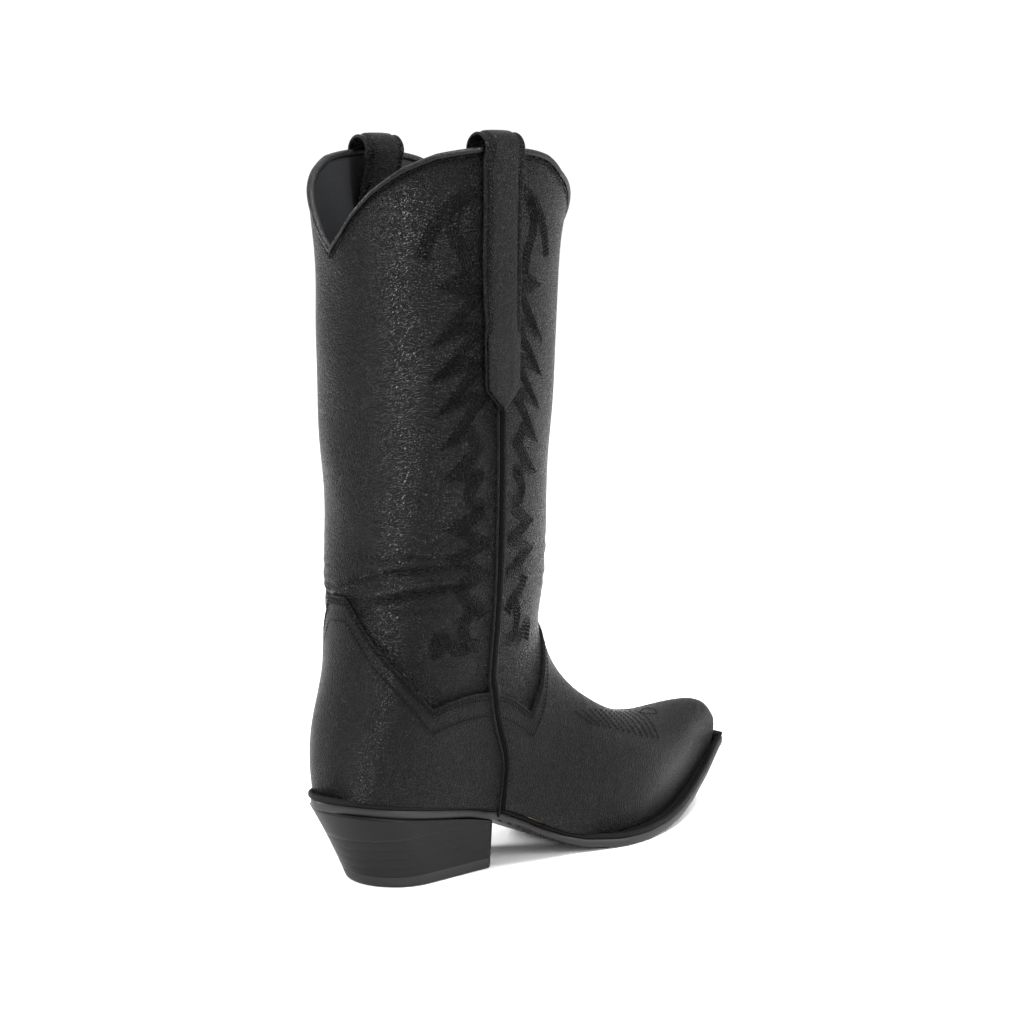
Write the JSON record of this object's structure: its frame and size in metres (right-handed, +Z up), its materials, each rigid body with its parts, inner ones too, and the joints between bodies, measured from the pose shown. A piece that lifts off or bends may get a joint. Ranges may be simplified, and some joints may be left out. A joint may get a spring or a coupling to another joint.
{
  "type": "western boot",
  "caption": "Tall pull-on western boot for the right foot, with a snipped pointed toe, pull straps, V-cut topline, welted sole and stacked underslung heel.",
  "frame": {"origin": "on the ground, at the middle of the bounding box seen from above", "axes": "+X to the outer side of the right boot, +Y towards the toe, +Z up the shaft"},
  "size_m": [0.1134, 0.292, 0.3792],
  "materials": {
    "shaft_leather": "black pebbled calf with a soft gloss",
    "foot_leather": "black smooth leather, semi-matte",
    "trim_leather": "black smooth rolled leather, satin",
    "lining_leather": "dark smooth lining leather, matte",
    "stiffener_board": "pressed leather board",
    "interlining_cloth": "woven cotton backing",
    "heel_stack": "stacked leather lifts, edge inked black, satin",
    "cap_rubber": "black moulded rubber",
    "sole_leather": "leather outsole, edge inked dark grey, satin",
    "welt_leather": "black welting leather",
    "insole_leather": "natural insole leather",
    "cork": "pressed cork",
    "peg_wood": "lemonwood pegs",
    "nail_steel": "bright steel nails",
    "shank_steel": "spring steel strip"
  },
  "bodies": {
    "root": {"shaft_front_panel": "shaft_leather", "shaft_back_panel": "shaft_leather", "shaft_front_lining": "lining_leather", "shaft_back_lining": "lining_leather", "front_topline_binding": "trim_leather", "back_topline_binding": "trim_leather", "vamp": "foot_leather", "heel_counter_cover": "foot_leather", "counter_stiffener": "stiffener_board", "vamp_interlining": "interlining_cloth", "toe_box": "stiffener_board", "vamp_lining": "lining_leather", "heel_lining": "lining_leather", "outer_side_piping": "trim_leather", "inner_side_piping": "trim_leather", "outer_pull_strap": "trim_leather", "inner_pull_strap": "trim_leather", "heel_cap": "cap_rubber", "heel_lift_1": "heel_stack", "heel_lift_2": "heel_stack", "heel_lift_3": "heel_stack", "heel_lift_4": "heel_stack", "heel_seat_wedge": "heel_stack", "heel_nails": "nail_steel", "wooden_pegs": "peg_wood", "outsole": "sole_leather", "welt": "welt_leather", "heel_rand": "welt_leather", "steel_shank": "shank_steel", "cork_filler": "cork", "insole_board": "insole_leather", "sock_lining": "lining_leather"}
  },
  "joints": []
}
